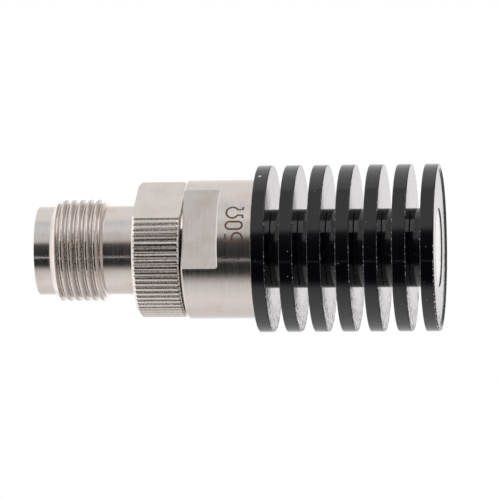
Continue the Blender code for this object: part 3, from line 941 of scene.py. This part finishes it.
def anodised_finish(name, reflecting, dye):
    """Black anodise with turning marks, smears, worn edges and dust."""
    finish = Finish(name)
    marks = finish.noise(finish.lathe_vector(), 7, detail=3, roughness=0.6)
    smears = finish.noise(finish.place, 0.8, detail=4, roughness=0.6)
    lain_on = 1 - finish.dot(finish.place, upward_in_photo).above(-1, 5)
    tone = finish.mix(bare_places(finish, lain_on), dye, ALUMINIUM)
    rough = 0.075 + (marks - 0.5) * 0.04 + (smears - 0.5) * 0.05
    rough = rough + rubbed_places(finish, lain_on) * 0.3
    normal = finish.bump(marks, 0.001)
    return finish.shade(Base_Color=tone, Roughness=rough, Normal=normal, IOR=reflecting)


anodised = anodised_finish("black_anodise", 1.56, (0.0016, 0.0013, 0.0028, 1))
# The core's copy reflects less and has a lighter dye: painted shade for the gap between the fins.
anodised_core_painted_shade = anodised_finish("black_anodise_core_painted_shade", 1.52, (0.011, 0.0095, 0.018, 1))
print("made", anodised.name, "and", anodised_core_painted_shade.name)

# %% [markdown]
# ## The small finishes
# The plug's face is turned bright, with fine rings. The insulator is a waxy white plastic that
# lets a little light in. Gold plate, brass and ceramic finish what sits inside, and the etched
# mark is a brown, matt stain.

# %% Plug, insulator, gold, brass, ceramic and the etched mark
nickel_face = nickel_finish("nickel_faced", 0.0008, 0.16, 0.5, NICKEL_BRIGHT)


def insulator_finish(name):
    """White fluoropolymer: waxy, with faint tool marks and clouds."""
    finish = Finish(name)
    marks = finish.noise(finish.lathe_vector(), 5, detail=3)
    clouds = finish.noise(finish.place, 0.9, detail=2)
    tone = finish.mix(clouds, (0.84, 0.84, 0.82, 1), (0.88, 0.88, 0.85, 1))
    rough = 0.42 + (marks - 0.5) * 0.12
    return finish.shade(Base_Color=tone, Roughness=rough, Normal=finish.bump(marks, 0.003),
                        Subsurface_Weight=0.2, Subsurface_Scale=0.0004)


def metal_finish(name, light, dark, roughness):
    """Plain metal with turning marks and a cloudy tone."""
    finish = Finish(name)
    marks = finish.noise(finish.lathe_vector(), 8, detail=3, roughness=0.6)
    clouds = finish.noise(finish.place, 0.8, detail=3)
    tone = finish.mix(clouds.above(0.55, 0.2), light, dark)
    rough = roughness + (marks - 0.5) * 0.1
    return finish.shade(Base_Color=tone, Metallic=1.0, Roughness=rough,
                        Normal=finish.bump(marks, 0.001), Anisotropic=0.4,
                        Anisotropic_Rotation=0.25)


def matt_finish(name, light, dark, grain_scale, roughness):
    """A matt skin with a fine grain."""
    finish = Finish(name)
    grain = finish.noise(finish.place, grain_scale, detail=4, roughness=0.6)
    tone = finish.mix(grain.above(0.5, 0.15), light, dark)
    return finish.shade(Base_Color=tone, Roughness=roughness + (grain - 0.5) * 0.1,
                        Normal=finish.bump(grain, 0.003))


white = insulator_finish("white_insulator")
gold = metal_finish("gold_plate", (0.84, 0.62, 0.26, 1), (0.78, 0.54, 0.2, 1), 0.22)
brass = metal_finish("turned_brass", (0.73, 0.57, 0.28, 1), (0.64, 0.47, 0.2, 1), 0.3)
ceramic = matt_finish("fired_ceramic", (0.62, 0.6, 0.54, 1), (0.54, 0.52, 0.46, 1), 6, 0.5)
etched = matt_finish("etched_brown", (0.15, 0.08, 0.034, 1), (0.09, 0.045, 0.018, 1), 9, 0.6)

# %% [markdown]
# ## Dressing the part
# Each finished piece rides on the part's one body and stands for the solid that it refines.
# The pieces sealed inside keep their solids' shape and only get a finish.

# %% Give each piece its finish and its place
def dress(piece, node, finishes):
    """Finish a piece and say which solid it stands for."""
    piece.data.materials.clear()
    for finish in finishes:
        piece.data.materials.append(finish)
    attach(piece, "root")
    if node:
        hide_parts(node)


dress(heat_sink, "heat_sink", [anodised, anodised_core_painted_shade])
dress(end_plug, "end_plug", [nickel_face])
dress(load_body, "load_body", [nickel, milled])
dress(mark, None, [etched])
dress(jack, "connector_shell", [nickel, milled])
dress(insulator, "front_insulator", [white])
dress(contact, "centre_contact", [gold])

inner_finishes = {
    "support_bead": white,
    "retaining_ring": brass,
    "taper_sleeve": brass,
    "resistor_rod": ceramic,
    "front_cap": gold,
    "rear_cap": gold,
}
for name, finish in inner_finishes.items():
    frame["nodes"][name].data.materials.clear()
    frame["nodes"][name].data.materials.append(finish)
print("sealed pieces finished:", len(inner_finishes))

# %% Give the flats the milled finish
MILLED_SLOT = 1
body_normals = [Vector((0, 1, 0)), Vector((0, -1, 0))]
flat_count = 0
for piece, normals, reach in ((load_body, body_normals, BODY_FLAT_REACH),
                              (jack, flat_normals, COLLAR_FLAT_REACH)):
    for face in piece.data.polygons:
        for normal in normals:
            on_plane = abs(face.center.dot(normal) - reach * MM) < NEAR * MM
            if on_plane and face.normal.dot(normal) > 0.999:
                face.material_index = MILLED_SLOT
                flat_count += 1
print("faces on the flats:", flat_count)

# %% Give the core between the fins its painted shade
# The core's faces between the fins take the copy of the black that reflects less: painted shade
# for the gap.
PAINTED_SHADE_CORE_SLOT = 1
painted_shade_core_faces = [face for face in heat_sink.data.polygons
              if face.center.xy.length < (CORE_RADIUS + ROOT_FILLET) * MM
              and face.center.z > (RECESS_DEPTH + RIM_EDGE) * MM]
for face in painted_shade_core_faces:
    face.material_index = PAINTED_SHADE_CORE_SLOT
print("faces on the core:", len(painted_shade_core_faces))

# %% [markdown]
# ## Light
# Polished metal shows its surroundings, so a metal part is lit by what stands round it. The
# world is a plain white studio with one dark side, where the camera stands: it draws the dark
# band along the cylinders. Its brightness is a ramp of the angle round the part's axis. There are
# two such ramps, one above the level of the floor and one below it, which the faces that look
# down along the axis mirror.

# %% The studio round the part
STUDIO = [
    (-180, 1.15), (-165, 0.93), (-150, 0.84), (-130, 0.86), (-116, 0.94), (-94, 1.04), (-76, 0.94),
    (-68, 0.89), (-60, 0.8), (-55, 0.7), (-49.5, 0.26), (-45, 0.04), (-36, 0.015), (-15, 0.012),
    (-5, 0.02), (2, 0.03), (12, 0.055), (19, 0.12), (23.5, 0.56), (26, 0.84), (42, 0.82),
    (68, 0.77), (86, 0.68), (87.5, 0.96), (105, 1.04), (139, 0.94), (160, 1.0), (170, 1.12),
    (180, 1.2),
]
STUDIO_BELOW = [
    (-180, 1.15), (-168, 1.1), (-155, 0.5), (-140, 0.26), (-50, 0.24), (-46, 0.0), (46, 0.0),
    (50, 2.0), (87, 2.0), (91, 0.3), (140, 0.2), (160, 0.6), (170, 1.1), (180, 1.15),
]
WARM_WHITE = (1.0, 0.974, 0.975, 1)
COOL_WHITE = (0.95, 1.03, 1.12, 1)
MIDDLE_RISE = 0.127
FAN = 3.0
FAN_REACH = 30 / 360
FAN_TOP = 0.2


def around_axis(tree, turn, studio):
    """The brightness of a studio given by its angles round the axis."""
    stops = [((angle + 180) / 360, (level,) * 3) for angle, level in studio]
    return tree.node("ShaderNodeValToRGB", {"stops": stops}, {0: turn + 0.5})


world = bpy.data.worlds.new("studio")
bpy.context.scene.world = world
sky = Tree(world)
direction = sky.node("ShaderNodeTexCoord", output=0)
out = sky.dot(direction, toward_camera)
up = sky.dot(direction, upward_in_photo)
turn = up.math("ARCTAN2", up, out) / math.tau
rise = sky.dot(direction, (0, 0, 1))
steepness = rise.math("ABSOLUTE", rise)
near_front = turn.math("MINIMUM", turn.math("MAXIMUM", turn, -FAN_REACH), FAN_REACH)
fanned = turn + near_front * (rise.math("MINIMUM", rise, FAN_TOP) - MIDDLE_RISE) * FAN
above_floor = around_axis(sky, fanned, STUDIO)
below_floor = around_axis(sky, turn, STUDIO_BELOW)
print("stops in the studio's ramps:", len(STUDIO), "and", len(STUDIO_BELOW))

# %% [markdown]
# The ramps are finished by a few smaller lights. A thin gap of light in the dark side draws the
# fine line in the band: it is strong high up, where the knurl and the jack's edges mirror it,
# and faint at the level that the fins' rims mirror. The chamfers and the flanks of the thread
# mirror the slanting light, and the ends mirror what is overhead. The light is slightly warm
# white, with a cooler part on each side.

# %% The studio's smaller lights
GAP_START = -19.4 / 360
GAP_END = -17.0 / 360
GAP_SOFTNESS = 0.5 / 360
GAP_RISE = 0.222
GAP_FAINT = 0.07
GAP_WHITE = (2.4, 2.4, 2.4, 1)
LOW_RISE = -0.11
SLANTING_STEEP = 0.52
OVERHEAD_STEEP = 0.9
COOL_START = 45 / 360
COOL_END = 86 / 360
COOL_RISE = 0.153
COOL_BACK = -140 / 360

gap_of_light = turn.above(GAP_START, GAP_SOFTNESS) - turn.above(GAP_END, GAP_SOFTNESS)
gap_of_light = gap_of_light * (rise.above(GAP_RISE, 0.03) * (1 - GAP_FAINT) + GAP_FAINT)
above_floor = sky.mix(gap_of_light, above_floor, GAP_WHITE)
deeper = (1 - rise.above(LOW_RISE, 0.04)) * 0.28 + 1.0
scaled = {"operation": "SCALE"}
below_floor = sky.node("ShaderNodeVectorMath", scaled, {0: below_floor, "Scale": deeper})
around = sky.mix(rise.above(0, 0.06), below_floor, above_floor)
overhead = rise.above(0, 0.1) * 0.5 + 1.0
slanting = rise.above(0, 0.1) * 0.55 + 0.8
lit = sky.mix(steepness.above(SLANTING_STEEP, 0.12), around, slanting)
lit = sky.mix(steepness.above(OVERHEAD_STEEP, 0.06), lit, overhead)
cool = turn.above(COOL_START, 0.03) - turn.above(COOL_END, 0.004)
cool = cool * rise.above(COOL_RISE, 0.008)
cool = cool + (1 - turn.above(COOL_BACK, 0.03)) * rise.above(0.05, 0.03) * 0.35
tint = sky.mix(cool, WARM_WHITE, COOL_WHITE)
lit = sky.node("ShaderNodeMix", {"data_type": "RGBA", "blend_type": "MULTIPLY"},
               {0: 1.0, 6: lit, 7: tint}, 2)
seen = sky.node("ShaderNodeLightPath", output=0)
backdrop = sky.mix(seen, lit, (1, 1, 1, 1))
glow = sky.node("ShaderNodeBackground", {}, {"Color": backdrop})
sky.node("ShaderNodeOutputWorld", {}, {"Surface": glow})
print("gap of light:", round((GAP_END - GAP_START) * 360, 1), "degrees wide")

# %% [markdown]
# ## Floor
# The part stands on a plain pale floor, which takes its shadow. The camera looks slightly up
# from below, so the floor is clear from underneath, and it is open where the end face stands on
# it. It is clear in mirror reflections too, so the bands on the metal run on below its level.

# %% The floor
FLOOR_OPENING = 0.0088
FLOOR_REACH = 3.0
floor_shape = bmesh.new()
rim = bmesh.ops.create_circle(floor_shape, segments=96, radius=FLOOR_OPENING)["verts"]
wide = bmesh.ops.extrude_edge_only(floor_shape, edges=floor_shape.edges[:])["geom"]
wide = [item for item in wide if isinstance(item, bmesh.types.BMVert)]
spread = FLOOR_REACH / FLOOR_OPENING
bmesh.ops.scale(floor_shape, vec=(spread, spread, 1), verts=wide)
bmesh.ops.recalc_face_normals(floor_shape, faces=floor_shape.faces)
if floor_shape.faces[:][0].normal.z < 0:
    bmesh.ops.reverse_faces(floor_shape, faces=floor_shape.faces)
floor = as_object(floor_shape, "floor")

paint = bpy.data.materials.new("pale_floor")
ground = Tree(paint)
shell = ground.node("ShaderNodeBsdfDiffuse", {}, {"Color": (0.88, 0.88, 0.88, 1)})
in_mirror = ground.node("ShaderNodeLightPath", output=3)
from_below = ground.node("ShaderNodeNewGeometry", output=6)
see_through = in_mirror.math("MAXIMUM", in_mirror, from_below)
clear = ground.node("ShaderNodeBsdfTransparent")
surface = ground.node("ShaderNodeMixShader", {}, {0: see_through, 1: shell, 2: clear})
ground.node("ShaderNodeOutputMaterial", {}, {"Surface": surface})
floor.data.materials.append(paint)
print("floor with", len(floor.data.polygons), "faces")

# %% [markdown]
# ## Camera
# The photograph was taken through a long lens, with the part's axis across the frame, the mouth
# to the left, and the end face just in sight. The camera's three axes are written out from the
# angles that the edges of the fins give.

# %% The camera
LENS = 300.2
DISTANCE = 0.45
TARGET_HEIGHT = 20.615 * MM
VIEW_SLANT = math.radians(7.324)
VIEW_ROLL = math.radians(0.481)
FRAME_SHIFT = -0.002114

axis = Vector((0, 0, 1))
back = toward_camera * math.cos(VIEW_SLANT) - axis * math.sin(VIEW_SLANT)
level_right = -(axis * math.cos(VIEW_SLANT) + toward_camera * math.sin(VIEW_SLANT))
right = level_right * math.cos(VIEW_ROLL) - upward_in_photo * math.sin(VIEW_ROLL)
up = level_right * math.sin(VIEW_ROLL) + upward_in_photo * math.cos(VIEW_ROLL)
lens = bpy.data.cameras.new("camera")
lens.lens = LENS
lens.shift_y = FRAME_SHIFT
lens.clip_start = 0.01
camera = bpy.data.objects.new("camera", lens)
bpy.context.scene.collection.objects.link(camera)
turn = Matrix((right, up, back)).transposed().to_4x4()
camera.matrix_world = Matrix.Translation(axis * TARGET_HEIGHT + back * DISTANCE) @ turn
bpy.context.scene.camera = camera
bpy.context.scene.view_settings.view_transform = "Standard"
print("camera at", [round(value, 4) for value in camera.location])
